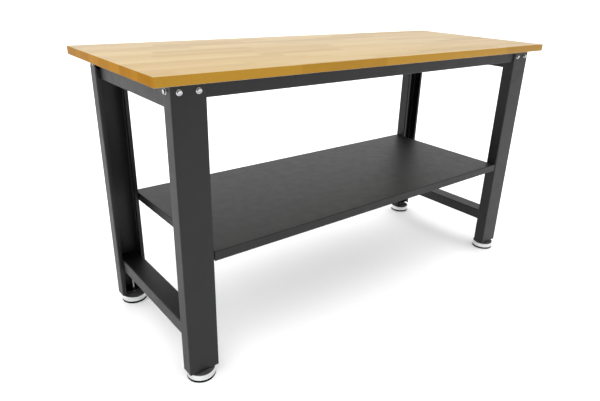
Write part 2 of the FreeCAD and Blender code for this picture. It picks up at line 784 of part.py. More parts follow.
def make_stem(label, x, y):
    """The threaded stem, from its seat in the cup up through the nut inside the leg."""
    body = new_body(label, x, y)
    radius, point = "sizes.stem_diameter / 2", "sizes.stem_diameter / 8"
    revolve(
        body,
        (
            ("0", STEM_BASE),
            (radius, STEM_BASE),
            (radius, f"{STEM_TOP} - {point}"),
            (f"{radius} - {point}", STEM_TOP),
            ("0", STEM_TOP),
        ),
    )
    return body


def make_foot_plate(label, x, y, end):
    """The plate across the lower end of a leg, which carries the leg's load to the foot nut."""
    body = new_body(label, x, y, PLATE_LEVEL)
    half_width = "(sizes.leg_width / 2 - sizes.sheet)"
    at_web = f"{end} * (sizes.foot_setback - sizes.sheet)"
    at_lips = f"{-end} * (sizes.leg_depth - sizes.sheet - sizes.foot_setback)"
    outline = new_sketch(body, "XY_Plane", "outline")
    add_rectangle(outline, f"-{half_width}", at_web, half_width, at_lips)
    pad(body, outline, "sizes.plate_thickness")
    corners = [(f"{way} * {half_width}", across, None) for way in (-1, 1) for across in (at_web, at_lips)]
    round_edges(body, "corners", "sizes.bend", corners)
    hole = new_sketch(body, "XY_Plane", "stem_hole")
    add_circle(hole, "0", "0", SOCKET_RADIUS)
    pocket(body, hole, back=True)
    return body


def make_foot_nuts():
    """The four nuts welded under the foot plates."""
    nut = make_ring(
        "foot_nut_pattern",
        ("Part::Prism", "Circumradius", "sizes.foot_nut_flats / sqrt(3)"),
        SOCKET_RADIUS,
        "sizes.foot_nut_height",
    )
    level = f"{PLATE_LEVEL} - sizes.foot_nut_height"
    places = [
        (f"{side} * {LEG_X}", f"{end} * {FOOT_Y}", level, Vector(0, 0, 1))
        for side in SIDES.values()
        for end in ENDS.values()
    ]
    return scatter("foot_nuts", nut, places)


# ---------------------------------------------------------------------------------------------------------
# The whole table
# ---------------------------------------------------------------------------------------------------------

nodes = [make_worktop(), make_shelf(), make_stiffener()]
for end_name, end in ENDS.items():
    nodes.append(make_long_rail(f"{end_name}_rail", end))
    for side_name, side in SIDES.items():
        corner = f"{end_name}_{side_name}"
        x, y = f"{side} * {LEG_X}", f"{end} * {FOOT_Y}"
        nodes.append(make_leg(f"{corner}_leg", side, end))
        nodes.append(make_foot_plate(f"{corner}_foot_plate", x, y, end))
        nodes.append(make_foot_pad(f"{corner}_foot_pad", x, y))
        nodes.append(make_foot_cup(f"{corner}_foot_cup", x, y))
        nodes.append(make_foot_cap(f"{corner}_foot_cap", x, y))
        nodes.append(make_stem(f"{corner}_stem", x, y))
for side_name, side in SIDES.items():
    nodes.append(make_end_rail(f"{side_name}_end_rail", side))
    nodes.append(make_stretcher(f"{side_name}_stretcher", side))
nodes += make_frame_fasteners()
nodes += make_shelf_fasteners()
nodes.append(make_worktop_screws())
nodes.append(make_foot_nuts())
doc.recompute()

for item in doc.Objects:
    if "Invalid" in item.State or "Error" in item.State:
        raise ValueError(f"{item.Name} failed: {item.State}")
for node in nodes:
    if node.Shape.isNull() or not node.Shape.isValid():
        raise ValueError(f"{node.Label} has no valid shape")

os.makedirs("parts", exist_ok=True)
for node in nodes:
    node.Shape.exportStep(f"parts/{node.Label}.step")
print(f"{len(nodes)} nodes written")
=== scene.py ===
"""Assembly table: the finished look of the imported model.

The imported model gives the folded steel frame, the shelf and every place. This script models the wooden
top, the bolts, the screw threads and the levelling feet in full, dresses every piece in its finish, and
sets the table on a pale studio floor. All lengths are metres in the model's own frame: X along the table,
Y from its front to its back, Z up from the floor.
"""

import logging
import math
from dataclasses import dataclass
from enum import Enum
from itertools import product
from typing import Iterable, Sequence

import bpy
from mathutils import Euler, Matrix, Vector


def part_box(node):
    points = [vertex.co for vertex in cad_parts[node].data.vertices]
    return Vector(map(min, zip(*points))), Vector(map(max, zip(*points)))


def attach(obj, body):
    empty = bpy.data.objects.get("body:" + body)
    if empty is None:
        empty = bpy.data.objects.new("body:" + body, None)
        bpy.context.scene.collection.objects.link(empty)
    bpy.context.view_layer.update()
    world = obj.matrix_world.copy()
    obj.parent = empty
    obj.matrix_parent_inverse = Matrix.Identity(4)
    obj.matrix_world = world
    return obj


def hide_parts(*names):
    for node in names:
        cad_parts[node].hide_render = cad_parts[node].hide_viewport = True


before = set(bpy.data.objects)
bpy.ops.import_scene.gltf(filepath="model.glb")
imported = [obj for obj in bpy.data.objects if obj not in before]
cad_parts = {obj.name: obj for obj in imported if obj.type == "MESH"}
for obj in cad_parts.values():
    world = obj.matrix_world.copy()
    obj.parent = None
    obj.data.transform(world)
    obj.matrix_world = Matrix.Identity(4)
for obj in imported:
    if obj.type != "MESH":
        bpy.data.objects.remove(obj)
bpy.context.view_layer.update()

log = logging.getLogger("assembly_table")

Colour = tuple[float, float, float]
Point = tuple[float, float, float]
Ring = tuple[float, float]
Span = tuple[float, float]

MM = 0.001

# Points that lie closer than these are merged.
FINE_WELD = 0.001 * MM
WELD = 0.01 * MM

# Folds flatter than these, in degrees, are shaded smooth.
BOARD_FOLD = 40.0
HEAD_FOLD = 32.0
ROUND_FOLD = 35.0


def in_mm(*rings: Ring) -> tuple[Ring, ...]:
    """Rings whose radius and height are written in millimetres."""
    return tuple((radius * MM, height * MM) for radius, height in rings)


# ---------------------------------------------------------------------------------------------------------
# Names of places and of material slots
# ---------------------------------------------------------------------------------------------------------


class Corner(Enum):
    """The four corners of the table. Each value is the name that its nodes begin with."""

    FRONT_LEFT = "front_left"
    FRONT_RIGHT = "front_right"
    REAR_LEFT = "rear_left"
    REAR_RIGHT = "rear_right"


class Slot(Enum):
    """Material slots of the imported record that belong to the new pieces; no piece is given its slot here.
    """

    WOOD = "top_wood"
    BRIGHT = "bright_zinc"
    STEEL = "plain_steel"
    CHROME = "cup_chrome"
    CAP = "cap_plastic"
    RUBBER = "pad_rubber"


class Facing(Enum):
    """Which way a face of the wooden top looks. Each value is the number of its material slot."""

    BROAD = 0
    LONG_EDGE = 1
    END_GRAIN = 2
    UNDERSIDE = 3


# ---------------------------------------------------------------------------------------------------------
# Modelling by hand, through the operators of edit mode
# ---------------------------------------------------------------------------------------------------------


class Bench:
    """The modelling bench: a thin layer over the mesh operators, for one piece at a time."""

    @staticmethod
    def clear() -> None:
        """Deselects everything, because an operator acts on all that is selected."""
        if bpy.context.object is not None and bpy.context.object.mode != "OBJECT":
            bpy.ops.object.mode_set(mode="OBJECT")
        bpy.ops.object.select_all(action="DESELECT")

    @staticmethod
    def hold(piece: bpy.types.Object) -> None:
        """Makes a piece the only selected object and the active one.

        Args:
            piece: The object to work on.
        """
        Bench.clear()
        piece.select_set(True)
        bpy.context.view_layer.objects.active = piece

    @staticmethod
    def edit(piece: bpy.types.Object, mode: str = "FACE") -> None:
        """Enters edit mode on piece with nothing selected.

        Args:
            piece: The mesh object to edit.
            mode: VERT, EDGE or FACE, the kind of element to select.
        """
        Bench.hold(piece)
        bpy.ops.object.mode_set(mode="EDIT")
        bpy.ops.mesh.select_mode(type=mode)
        bpy.ops.mesh.select_all(action="DESELECT")

    @staticmethod
    def leave() -> None:
        """Goes back to object mode."""
        bpy.ops.object.mode_set(mode="OBJECT")

    @staticmethod
    def modify(piece: bpy.types.Object, kind: str, **settings: object) -> None:
        """Adds a modifier and applies it.

        Args:
            piece: The mesh object to change.
            kind: The modifier's type, such as BOOLEAN.
            settings: Its properties, by name.
        """
        Bench.hold(piece)
        modifier = piece.modifiers.new(kind.title(), kind)
        for name, value in settings.items():
            setattr(modifier, name, value)
        bpy.ops.object.modifier_apply(modifier=modifier.name)

    @staticmethod
    def settle(piece: bpy.types.Object) -> None:
        """Puts the piece's place into its mesh, so that its object stands unturned at the origin."""
        Bench.hold(piece)
        bpy.ops.object.transform_apply(location=True, rotation=True, scale=True)

    @staticmethod
    def smooth(piece: bpy.types.Object, degrees: float) -> None:
        """Shades smooth across every fold that is flatter than degrees."""
        Bench.hold(piece)
        bpy.ops.object.shade_smooth_by_angle(angle=math.radians(degrees))

    @staticmethod
    def tidy(piece: bpy.types.Object, gap: float = FINE_WELD) -> None:
        """Merges points that lie close together and turns every face outwards.

        Args:
            piece: The mesh object to tidy.
            gap: Points that lie closer than this become one.
        """
        Bench.edit(piece)
        bpy.ops.mesh.select_all(action="SELECT")
        bpy.ops.mesh.remove_doubles(threshold=gap)
        bpy.ops.mesh.normals_make_consistent(inside=False)
        Bench.leave()

    @staticmethod
    def turned(name: str, rings: Sequence[Ring], sides: int, hollow: bool) -> bpy.types.Object:
        """Turns a piece about the Z axis, ring by ring, as on a lathe.

        Args:
            name: The new object's name.
            rings: (radius, height) of each ring in turn, in metres.
            sides: How many sides each ring has.
            hollow: Whether the last ring joins the first round a hole. Otherwise both ends are closed.

        Returns:
            The new object, closed, with its faces outwards.
        """
        Bench.clear()
        radius, height = rings[0]
        fill = "NOTHING" if hollow else "NGON"
        centre = (0, 0, height)
        bpy.ops.mesh.primitive_circle_add(vertices=sides, radius=radius, fill_type=fill, location=centre)
        piece = bpy.context.object
        piece.name = piece.data.name = name
        Bench.settle(piece)
        Bench.edit(piece, "EDGE" if hollow else "FACE")
        bpy.ops.mesh.select_all(action="SELECT")
        path = list(rings[1:]) + ([rings[0]] if hollow else [])
        extrude = bpy.ops.mesh.extrude_edges_move if hollow else bpy.ops.mesh.extrude_region_move
        for new_radius, new_height in path:
            extrude()
            bpy.ops.transform.translate(value=(0, 0, new_height - height))
            scale = new_radius / radius
            bpy.ops.transform.resize(value=(scale, scale, 1), center_override=(0, 0, new_height))
            radius, height = new_radius, new_height
        Bench.leave()
        Bench.tidy(piece)
        return piece

    @staticmethod
    def copy(pattern: bpy.types.Object, place: Matrix) -> bpy.types.Object:
        """Copies a pattern together with its mesh.

        Args:
            pattern: The piece to copy.
            place: Where the copy stands.

        Returns:
            The copy, settled there.
        """
        twin = pattern.copy()
        twin.data = pattern.data.copy()
        bpy.context.collection.objects.link(twin)
        twin.matrix_world = place
        Bench.settle(twin)
        return twin

    @staticmethod
    def join(name: str, parts: Sequence[bpy.types.Object]) -> bpy.types.Object:
        """Joins several pieces into one.

        Args:
            name: The name of the joined piece.
            parts: The pieces, which it uses up.

        Returns:
            The joined piece.
        """
        Bench.clear()
        for part in parts:
            part.select_set(True)
        bpy.context.view_layer.objects.active = parts[0]
        bpy.ops.object.join()
        piece = bpy.context.object
        piece.name = piece.data.name = name
        return piece

    @staticmethod
    def discard(piece: bpy.types.Object) -> None:
        """Removes a pattern that was only there to be copied."""
        bpy.data.objects.remove(piece, do_unlink=True)


# ---------------------------------------------------------------------------------------------------------
# Finishes
# ---------------------------------------------------------------------------------------------------------


class Graph:
    """The node tree of one material, built by short calls."""

    def __init__(self, name: str) -> None:
        """Starts a material that has a surface shader and nothing else.

        Args:
            name: The material's name.
        """
        self.material = bpy.data.materials.new(name)
        self.material.use_nodes = True
        self.tree = self.material.node_tree
        self.tree.nodes.clear()
        self.shader = self.tree.nodes.new("ShaderNodeBsdfPrincipled")
        output = self.tree.nodes.new("ShaderNodeOutputMaterial")
        self.tree.links.new(self.shader.outputs["BSDF"], output.inputs["Surface"])

    def node(
        self, kind: str, inputs: dict[str | int, object] | None = None, **settings: object
    ) -> bpy.types.Node:
        """Adds a node.

        Args:
            kind: The node's type, without the ShaderNode prefix.
            inputs: Values or output sockets for its inputs, by name or number.
            settings: Properties of the node itself.

        Returns:
            The new node.
        """
        new = self.tree.nodes.new(f"ShaderNode{kind}")
        for name, value in settings.items():
            setattr(new, name, value)
        for name, value in (inputs or {}).items():
            self.feed(new.inputs[name], value)
        return new

    def feed(self, socket: bpy.types.NodeSocket, value: object) -> None:
        """Links an output to a socket, or sets the socket's own value.

        Args:
            socket: The input socket.
            value: An output socket, or a plain value.
        """
        if isinstance(value, bpy.types.NodeSocket):
            self.tree.links.new(value, socket)
        else:
            socket.default_value = value

    def place(self) -> bpy.types.NodeSocket:
        """The place on the piece, in metres."""
        return self.node("TexCoord").outputs["Object"]

    def math(self, operation: str, *values: object) -> bpy.types.NodeSocket:
        """The result of one arithmetic node."""
        return self.node("Math", dict(enumerate(values)), operation=operation).outputs[0]

    def weigh(self, *terms: tuple[object, float]) -> bpy.types.NodeSocket:
        """Adds up values by weight.

        Args:
            terms: (value, weight) of each term.

        Returns:
            The socket with the sum of the values, each times its weight.
        """
        (value, weight), *rest = terms
        first = self.math("MULTIPLY", value, weight)
        return self.math("ADD", first, self.weigh(*rest)) if rest else first

    def noise(
        self, vector: object, scale: float, detail: float = 2.0, roughness: float = 0.5
    ) -> bpy.types.NodeSocket:
        """Fractal noise from 0 to 1."""
        inputs = {"Vector": vector, "Scale": scale, "Detail": detail, "Roughness": roughness}
        return self.node("TexNoise", inputs).outputs["Fac"]

    def spread(
        self, value: object, low: float, high: float, source: Span = (0.0, 1.0)
    ) -> bpy.types.NodeSocket:
        """Maps a value from one range to another, clamped at both ends.

        Args:
            value: The value, as a socket.
            low: The result at the start of the source range.
            high: The result at its end.
            source: Start and end of the source range.

        Returns:
            The socket with the result.
        """
        start, end = source
        inputs = {"Value": value, "From Min": start, "From Max": end, "To Min": low, "To Max": high}
        return self.node("MapRange", inputs).outputs["Result"]

    def ramp(self, value: object, stops: Sequence[tuple[float, Colour]]) -> bpy.types.NodeSocket:
        """Turns a value into a colour.

        Args:
            value: The value, as a socket.
            stops: (value, colour) of each stop, from the lowest up.

        Returns:
            The socket with the colour.
        """
        new = self.node("ValToRGB", {"Fac": value})
        elements = new.color_ramp.elements
        while len(elements) < len(stops):
            elements.new(0.5)
        for element, (position, colour) in zip(elements, stops):
            element.position = position
            element.color = (*colour, 1.0)
        return new.outputs["Color"]

    def tint(self, colour: object, amount: object, tone: Colour) -> bpy.types.NodeSocket:
        """Multiplies a colour by a tone.

        Args:
            colour: The colour, as a socket.
            amount: How far the tone counts, from 0 to 1.
            tone: The tone.

        Returns:
            The socket with the result.
        """
        first, second, result = 6, 7, 2  # the node's colour sockets share their names with its other types
        new = self.node("Mix", data_type="RGBA", blend_type="MULTIPLY")
        self.feed(new.inputs["Factor"], amount)
        self.feed(new.inputs[first], colour)
        self.feed(new.inputs[second], (*tone, 1.0))
        return new.outputs[result]

    def bump(self, height: object, distance: float) -> None:
        """Gives the surface fine relief, distance deep."""
        new = self.node("Bump", {"Height": height, "Distance": distance, "Strength": 1.0})
        self.feed(self.shader.inputs["Normal"], new.outputs["Normal"])


def shade(colour: Colour, share: float) -> Colour:
    """A colour made darker or lighter, each channel times share."""
    return tuple(share * value for value in colour)


@dataclass(frozen=True)
class PowderCoat:
    """Baked powder paint: a fine pebbled skin with a low sheen, a little uneven in tone.

    Attributes:
        name: The material's name.
        colour: Base colour, linear.
        roughness: Mean roughness of the skin.
        gloss: Strength of its reflection, where 0.5 is clear lacquer.
        pebble: Size of the pebbles, in metres.
        depth: Depth of the pebbles, in metres.
    """

    name: str
    colour: Colour
    roughness: float = 0.46
    gloss: float = 0.36
    pebble: float = 1.4 * MM
    depth: float = 0.035 * MM

    def material(self) -> bpy.types.Material:
        """Builds the finish.

        Returns:
            The new material.
        """
        graph = Graph(self.name)
        place = graph.place()
        patches = graph.noise(place, 7.0, 3.0, 0.6)
        light = shade(self.colour, 1.14)
        dark = shade(self.colour, 0.88)
        speck = graph.noise(place, 1.0 / self.pebble, 1.0)
        tone = graph.weigh((patches, 0.7), (speck, 0.3))
        graph.feed(graph.shader.inputs["Base Color"], graph.ramp(tone, ((0.3, dark), (0.7, light))))
        rough = graph.spread(graph.noise(place, 24.0, 2.0), self.roughness - 0.05, self.roughness + 0.07)
        graph.feed(graph.shader.inputs["Roughness"], rough)
        graph.feed(graph.shader.inputs["IOR"], 1.5)
        graph.feed(graph.shader.inputs["Specular IOR Level"], self.gloss)
        graph.bump(speck, self.depth)
        return graph.material


@dataclass(frozen=True)
class Plating:
    """Plated or polished metal, with faint drawing marks and a soft change of tone.

    Attributes:
        name: The material's name.
        colour: Reflected colour, linear.
        roughness: Mean roughness.
        marks: How strongly the marks show, from 0 to 1.
        scale: How many marks there are to a metre.
    """

    name: str
    colour: Colour
    roughness: float
    marks: float
    scale: float = 900.0

    def material(self) -> bpy.types.Material:
        """Builds the finish.

        Returns:
            The new material.
        """
        graph = Graph(self.name)
        place = graph.place()
        across = graph.node("Mapping", {"Vector": place, "Scale": (1.0, 1.0, 6.0)}).outputs["Vector"]
        streaks = graph.noise(across, self.scale, 2.0)
        cloud = graph.noise(place, 60.0, 2.0)
        tone = graph.weigh((streaks, 0.5), (cloud, 0.5))
        dark = shade(self.colour, 1.0 - 0.35 * self.marks)
        graph.feed(graph.shader.inputs["Base Color"], graph.ramp(tone, ((0.3, dark), (0.65, self.colour))))
        graph.feed(graph.shader.inputs["Metallic"], 1.0)
        swing = 0.12 * self.marks
        rough = graph.spread(tone, self.roughness, self.roughness + swing, (0.35, 0.7))
        graph.feed(graph.shader.inputs["Roughness"], rough)
        graph.bump(streaks, 0.004 * MM * (1.0 + self.marks))
        return graph.material


@dataclass(frozen=True)
class Moulding:
    """Moulded plastic or rubber with a fine grain.

    Attributes:
        name: The material's name.
        colour: Base colour, linear.
        roughness: Mean roughness.
        grain: Size of the grain, in metres.
        depth: Depth of the grain, in metres.
        gloss: Strength of its reflection, where 0.5 is clear lacquer.
    """

    name: str
    colour: Colour
    roughness: float
    grain: float
    depth: float
    gloss: float

    def material(self) -> bpy.types.Material:
        """Builds the finish.

        Returns:
            The new material.
        """
        graph = Graph(self.name)
        place = graph.place()
        graph.feed(graph.shader.inputs["Specular IOR Level"], self.gloss)
        dust = graph.noise(place, 45.0, 4.0, 0.65)
        light = shade(self.colour, 1.5)
        graph.feed(graph.shader.inputs["Base Color"], graph.ramp(dust, ((0.4, self.colour), (0.75, light))))
        rough = graph.spread(dust, self.roughness - 0.05, self.roughness + 0.1, (0.3, 0.7))
        graph.feed(graph.shader.inputs["Roughness"], rough)
        graph.bump(graph.noise(place, 1.0 / self.grain, 1.0), self.depth)
        return graph.material


@dataclass(frozen=True)
class GluedStaves:
    """Wood glued up from staves that run along the table, butted end to end.

    Attributes:
        name: The material's name.
        facing: Which face of the board this is for: it changes the figure.
        pale: Lightest stave, linear.
        middle: Usual stave, linear.
        deep: Darkest stave, linear.
        sheen: Strength of its reflection, where 0.5 is clear lacquer.
        stave: Width of a stave, in metres.
        block: Usual length of a stave, in metres.
        seam: Half the width of the joint beside a stave, in metres.
        butt: Half the width of the joint at a stave's end, in metres.
        depth: Depth of the pores and of the joints, in metres.
        stagger: How far chance shifts a row of staves, in staves.
        leap: How far chance moves the figure from one stave to the next, in metres.
        glue: Tone of the joints.
        streak: Tone of the pores.
    """

    name: str
    facing: Facing
    pale: Colour
    middle: Colour
    deep: Colour
    sheen: float
    stave: float = 42.0 * MM
    block: float = 0.36
    seam: float = 0.35 * MM
    butt: float = 0.4 * MM
    depth: float = 0.05 * MM
    stagger: float = 7.0
    leap: float = 9.0
    glue: Colour = (0.55, 0.45, 0.35)
    streak: Colour = (0.66, 0.56, 0.42)

    def material(self) -> bpy.types.Material:
        """Builds the finish.

        Returns:
            The new material.
        """
        graph = Graph(self.name)
        place = graph.place()
        axes = graph.node("SeparateXYZ", {"Vector": place})
        x, y = (axes.outputs[name] for name in "XY")
        across = graph.math("DIVIDE", y, self.stave)
        row = graph.math("FLOOR", across)
        shift = graph.node("TexWhiteNoise", {"W": row}, noise_dimensions="1D").outputs["Value"]
        shifted = graph.math("MULTIPLY", shift, self.stagger)
        along = graph.math("ADD", graph.math("DIVIDE", x, self.block), shifted)
        cell = graph.math("FLOOR", along)
        key = graph.node("CombineXYZ", {"X": row, "Y": cell, "Z": 0.0}).outputs["Vector"]
        chance = graph.node("TexWhiteNoise", {"Vector": key}, noise_dimensions="3D")

        jump = {0: chance.outputs["Color"], "Scale": self.leap}
        offset = graph.node("VectorMath", jump, operation="SCALE").outputs[0]
        moved = graph.node("VectorMath", {0: place, 1: offset}, operation="ADD").outputs[0]
        stretch = (2.4, 14.0, 14.0) if self.facing is not Facing.END_GRAIN else (3.0, 7.0, 9.0)
        drawn = graph.node("Mapping", {"Vector": moved, "Scale": stretch}).outputs["Vector"]
        figure = graph.noise(drawn, 5.0, 5.0, 0.6)
        fibre = graph.node("Mapping", {"Vector": moved, "Scale": (1.0, 40.0, 40.0)}).outputs["Vector"]
        pores = graph.noise(fibre, 28.0, 3.0, 0.6)

        tone = graph.weigh((chance.outputs["Value"], 0.52), (figure, 0.4), (pores, 0.08))
        base = graph.ramp(tone, ((0.12, self.deep), (0.42, self.middle), (0.85, self.pale)))

        seam = self.glue_line(graph, across, self.seam / self.stave)
        butt = self.glue_line(graph, along, self.butt / self.block)
        joint = graph.math("MAXIMUM", seam, butt)
        base = graph.tint(base, graph.math("MULTIPLY", joint, 0.45), self.glue)
        base = graph.tint(base, graph.spread(pores, 0.0, 0.28, (0.56, 0.74)), self.streak)
        graph.feed(graph.shader.inputs["Base Color"], base)
        graph.feed(graph.shader.inputs["Roughness"], graph.spread(figure, 0.34, 0.46, (0.3, 0.7)))
        graph.feed(graph.shader.inputs["Specular IOR Level"], self.sheen)
        raised, sunk = graph.math("MULTIPLY", pores, 0.6), graph.math("MULTIPLY", joint, 0.5)
        graph.bump(graph.math("SUBTRACT", raised, sunk), self.depth)
        return graph.material

    @staticmethod
    def glue_line(graph: Graph, count: object, width: float) -> bpy.types.NodeSocket:
        """Marks the joints between staves.

        Args:
            graph: The material's node tree.
            count: How many staves lie before this place, as a socket.
            width: Half the width of a joint, as a share of a stave.

        Returns:
            A socket that rises to 1 at each whole number of count.
        """
        inside = graph.math("ABSOLUTE", graph.math("SUBTRACT", graph.math("FRACT", count), 0.5))
        return graph.spread(inside, 0.0, 1.0, (0.5 - width, 0.5))


class Finishes:
    """The finishes of the table, each made once."""

    def __init__(self) -> None:
        """Builds every material."""
        self.paint = PowderCoat("charcoal_powder_coat", (0.0040, 0.0042, 0.0047)).material()
        self.bright = Plating("bright_zinc_plate", (0.47, 0.48, 0.49), 0.10, 0.5).material()
        self.black = Plating("black_zinc_plate", (0.06, 0.06, 0.065), 0.38, 0.5).material()
        self.steel = Plating("dull_zinc_plate", (0.62, 0.62, 0.63), 0.26, 0.6).material()
        self.chrome = Plating("polished_chrome", (0.70, 0.705, 0.71), 0.08, 0.3, 400.0).material()
        self.cap = Moulding("moulded_cap", (0.049, 0.049, 0.050), 0.42, 0.7 * MM, 0.02 * MM, 0.4).material()
        rubber = Moulding("pad_rubber", (0.004, 0.004, 0.0042), 0.8, 1.0 * MM, 0.03 * MM, 0.12)
        self.rubber = rubber.material()
        wood = {
            Facing.BROAD: ((0.484, 0.355, 0.170), (0.420, 0.292, 0.122), (0.364, 0.239, 0.085), 0.18),
            # The long edge is the same wood as the top; its darker, deeper tone is painted shade.
            Facing.LONG_EDGE: ((0.301, 0.163, 0.015), (0.275, 0.143, 0.0112), (0.24, 0.12, 0.0085), 0.12),
            # End grain is darker in itself; its tone here also holds painted shade.
            Facing.END_GRAIN: ((0.325, 0.152, 0.012), (0.28, 0.126, 0.008), (0.216, 0.095, 0.005), 0.012),
            # Painted light: the underside is paler and greyer than the top, so that the shelf's reflection
            # of it is brighter.
            Facing.UNDERSIDE: ((0.66, 0.60, 0.50), (0.61, 0.54, 0.44), (0.55, 0.48, 0.38), 0.1),
        }
        self.wood = [
            GluedStaves(f"glued_staves_{facing.name.lower()}", facing, *tones).material()
            for facing, tones in wood.items()
        ]


def dress(piece: bpy.types.Object, *materials: bpy.types.Material) -> None:
    """Gives piece these materials in place of what it has.

    Args:
        piece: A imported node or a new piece.
        materials: One material for each of its slots, or one for all.
    """
    slots = piece.data.materials
    if len(materials) == 1 and len(slots) > 0:
        for index in range(len(slots)):
            slots[index] = materials[0]
        return
    slots.clear()
    for material in materials:
        slots.append(material)


def middle(node: str) -> Vector:
    """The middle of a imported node's box."""
    low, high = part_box(node)
    return (low + high) / 2


# ---------------------------------------------------------------------------------------------------------
# Sub-assemblies
# ---------------------------------------------------------------------------------------------------------


@dataclass
class WoodenTop:
    """The edge-glued board.

    Attributes:
        node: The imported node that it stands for.
        arris: Width of the eased edges.
        steps: How many faces round each edge off.
        flat: A face whose normal has more than this along Z belongs to the top or the underside.
    """

    node: str = "worktop"
    arris: float = 2.0 * MM
    steps: int = 4
    flat: float = 0.6

    def build(self, finishes: Finishes) -> bpy.types.Object:
        """Models the board at its node's place and dresses each side of it.

        Args:
            finishes: The table's finishes.

        Returns:
            The board.
        """
        low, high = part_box(self.node)
        Bench.clear()
        bpy.ops.mesh.primitive_cube_add(size=1, location=(low + high) / 2)
        board = bpy.context.object
        board.name = board.data.name = "glued_board"
        board.scale = high - low
        Bench.settle(board)
        Bench.edit(board, "EDGE")
        bpy.ops.mesh.select_all(action="SELECT")
        bpy.ops.mesh.bevel(offset=self.arris, segments=self.steps, profile=0.5, affect="EDGES")
        Bench.leave()
        dress(board, *finishes.wood)
        for face in board.data.polygons:
            face.material_index = self.facing(face.normal).value
        Bench.smooth(board, BOARD_FOLD)
        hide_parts(self.node)
        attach(board, "frame")
        return board

    def facing(self, normal: Vector) -> Facing:
        """Finds the side of the board that a face belongs to.

        Args:
            normal: The face's normal.

        Returns:
            The side.
        """
        if abs(normal.z) > self.flat:
            return Facing.BROAD if normal.z > 0 else Facing.UNDERSIDE
        return Facing.END_GRAIN if abs(normal.x) > abs(normal.y) else Facing.LONG_EDGE


@dataclass
class SteelFrame:
    """The folded steel: legs, rails, stretchers, shelf and the plates inside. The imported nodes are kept.

    Attributes:
        members: The nodes that carry the paint.
    """

    members: tuple[str, ...] = (
        "shelf",
        "shelf_stiffener",
        "front_rail",
        "rear_rail",
        "left_end_rail",
        "right_end_rail",
        "left_stretcher",
        "right_stretcher",
    )

    def build(self, finishes: Finishes) -> list[bpy.types.Object]:
        """Dresses every painted member.

        Args:
            finishes: The table's finishes.

        Returns:
            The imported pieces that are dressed.
        """
        names = list(self.members)
        for corner in Corner:
            names += [f"{corner.value}_leg", f"{corner.value}_foot_plate"]
        pieces = [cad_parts[name] for name in names]
        for piece in pieces:
            dress(piece, finishes.paint)
        return pieces


@dataclass
class FlangedBolts:
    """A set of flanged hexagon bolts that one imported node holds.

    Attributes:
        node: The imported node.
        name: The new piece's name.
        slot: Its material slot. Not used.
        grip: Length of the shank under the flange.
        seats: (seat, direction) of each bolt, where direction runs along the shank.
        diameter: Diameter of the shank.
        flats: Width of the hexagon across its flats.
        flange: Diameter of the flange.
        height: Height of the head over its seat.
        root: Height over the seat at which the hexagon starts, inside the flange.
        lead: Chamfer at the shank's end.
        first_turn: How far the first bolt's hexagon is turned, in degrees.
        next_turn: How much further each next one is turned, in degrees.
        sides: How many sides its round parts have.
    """

    node: str
    name: str
    slot: Slot
    grip: float
    seats: list[tuple[Vector, Vector]]
    diameter: float = 8.0 * MM
    flats: float = 13.0 * MM
    flange: float = 18.0 * MM
    height: float = 6.5 * MM
    root: float = 1.6 * MM
    lead: float = 0.9 * MM
    first_turn: float = 17.0
    next_turn: float = 23.0
    sides: int = 48

    def body(self) -> bpy.types.Object:
        """Turns the round part of a bolt.

        Returns:
            The shank and the sloping flange, closed under the hexagon.
        """
        shank, rim, hexagon = self.diameter / 2, self.flange / 2, self.flats / 2
        rings = (
            (shank - self.lead, self.grip),
            (shank, self.grip - self.lead),
            (shank, 0.0),
            (rim - 0.25 * MM, 0.0),
            (rim, -0.3 * MM),
            (rim, -0.75 * MM),
            (rim - 0.35 * MM, -1.15 * MM),
            (rim - 1.4 * MM, -1.7 * MM),
            (hexagon - 0.3 * MM, -2.1 * MM),
            (hexagon - 0.6 * MM, -3.2 * MM),
        )
        return Bench.turned("bolt_round", rings, self.sides, hollow=False)

    def hexagon(self) -> bpy.types.Object:
        """Models the head's hexagon.

        Returns:
            The plain prism, before it is trimmed.
        """
        Bench.clear()
        bpy.ops.mesh.primitive_cylinder_add(
            vertices=6,
            radius=self.flats / math.sqrt(3),
            depth=self.height - self.root,
            location=(0, 0, -(self.height + self.root) / 2),
        )
        head = bpy.context.object
        Bench.settle(head)
        return head

    def crown(self) -> bpy.types.Object:
        """Turns the body that trims the hexagon.

        Returns:
            The body, which chamfers the corners and leaves a shallow dish in the top.
        """
        top = -self.height
        outline = (  # (radius as a share of the width across flats, height)
            (0.72, 0.0),
            (0.72, top + 2.2 * MM),
            (0.56, top + 1.0 * MM),
            (0.49, top + 0.25 * MM),
            (0.42, top),
            (0.36, top),
            (0.30, top + 0.75 * MM),
            (0.16, top + 0.95 * MM),
        )
        rings = tuple((self.flats * share, height) for share, height in outline)
        return Bench.turned("bolt_chamfer", rings, self.sides, hollow=False)

    def pattern(self) -> bpy.types.Object:
        """Puts one bolt together.

        Returns:
            The bolt, seated on z = 0 with its head below.
        """
        body, head, crown = self.body(), self.hexagon(), self.crown()
        Bench.modify(head, "BOOLEAN", operation="INTERSECT", object=crown, solver="EXACT")
        Bench.modify(body, "BOOLEAN", operation="UNION", object=head, solver="EXACT")
        Bench.discard(head)
        Bench.discard(crown)
        Bench.tidy(body, WELD)
        return body

    def build(self, material: bpy.types.Material) -> bpy.types.Object:
        """Copies the bolt to its seats, and dresses and mounts the set.

        Args:
            material: The finish of the bolts.

        Returns:
            The set, as one piece.
        """
        pattern = self.pattern()
        copies = []
        for index, (seat, direction) in enumerate(self.seats):
            turn = direction.to_track_quat("Z", "Y").to_matrix().to_4x4()
            spin = Matrix.Rotation(math.radians(self.first_turn + self.next_turn * index), 4, "Z")
            copies.append(Bench.copy(pattern, Matrix.Translation(seat) @ turn @ spin))
        Bench.discard(pattern)
        piece = Bench.join(self.name, copies)
        Bench.smooth(piece, HEAD_FOLD)
        dress(piece, material)
        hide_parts(self.node)
        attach(piece, "frame")
        return piece


